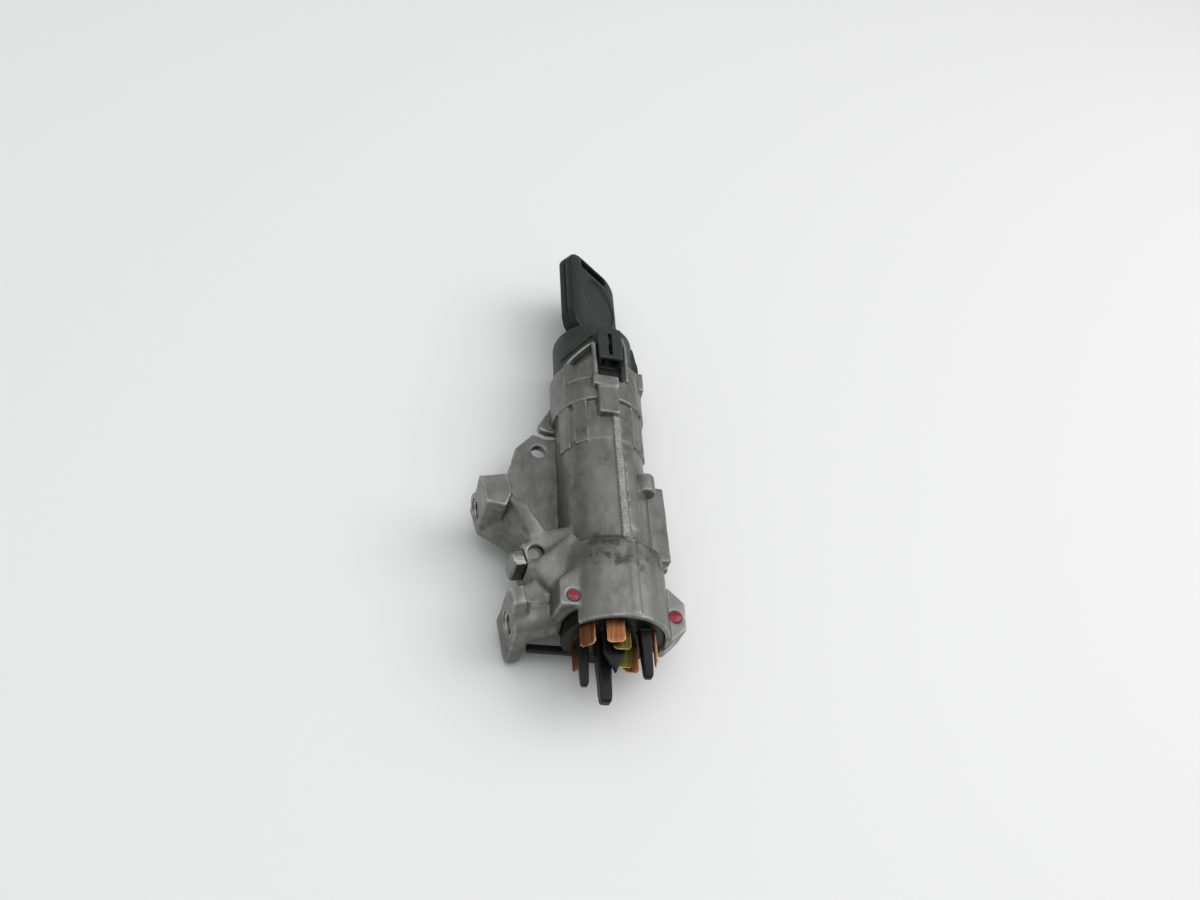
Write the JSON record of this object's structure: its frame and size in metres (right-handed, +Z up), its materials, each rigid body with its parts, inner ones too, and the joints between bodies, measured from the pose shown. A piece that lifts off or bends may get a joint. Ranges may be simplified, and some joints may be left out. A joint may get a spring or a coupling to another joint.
{
  "type": "ignition switch with steering lock",
  "caption": "Die-cast barrel with a turning key cylinder, a sliding steering lock bolt on a side bracket, a black key reader cap and a blade terminal switch at the bottom.",
  "frame": {"origin": "on the barrel axis, in the plane of the collar's rim where the wiring plug arrives", "axes": "+Y along the barrel axis towards the key, -X towards the steering column, +Z up to the side with the reader socket"},
  "size_m": [0.0677, 0.1898, 0.0375],
  "materials": {
    "cast": "mottled as-cast, satin",
    "steel": "ground, satin",
    "spring": "drawn wire",
    "brass": "stamped, satin",
    "copper": "stamped copper, satin",
    "winding": "enamelled copper wire",
    "red_paint": "glossy red sealing paint",
    "black_plastic": "moulded, satin black",
    "key_plastic": "fine-grained black",
    "chip": "glossy black",
    "pale_plastic": "natural acetal",
    "grey_plastic": "moulded, satin"
  },
  "bodies": {
    "lock_housing": {"housing": "cast", "bolt_spring": "spring", "spring_seat": "cast", "cylinder_sleeve": "cast", "sleeve_pin": "steel", "reader_cap": "black_plastic", "plug_socket": "black_plastic", "coil_winding": "winding", "coil_pins": "brass", "switch_body": "black_plastic", "switch_cover": "grey_plastic", "return_spring": "spring", "detent_ball": "steel", "detent_spring": "spring", "copper_terminals": "copper", "brass_terminals": "brass", "switch_screws": "red_paint"},
    "lock_plug": {"cylinder_plug": "brass", "wafers": "brass", "wafer_springs": "spring", "plug_circlip": "spring", "cam_shaft": "cast", "switch_rotor": "pale_plastic", "contact_bridges": "copper", "contact_springs": "spring"},
    "key": {"key_blade": "steel", "key_head_front": "key_plastic", "key_head_back": "key_plastic", "transponder": "chip"},
    "bolt": {"lock_bolt": "steel", "bolt_slider": "steel"}
  },
  "joints": [
    {"name": "key_turn", "type": "hinge", "parent": "lock_housing", "child": "lock_plug", "pos_m": [0, 0, 0], "axis": [0, -1, 0], "range_deg": [0, 90]},
    {"name": "key_slide", "type": "slide", "parent": "lock_plug", "child": "key", "axis": [0, 1, 0], "range_m": [0, 0.046]},
    {"name": "bolt_slide", "type": "slide", "parent": "lock_housing", "child": "bolt", "axis": [-0.9677, -0.2521, 0], "range_m": [0, 0.0085], "deforming": ["bolt_spring"]}
  ]
}
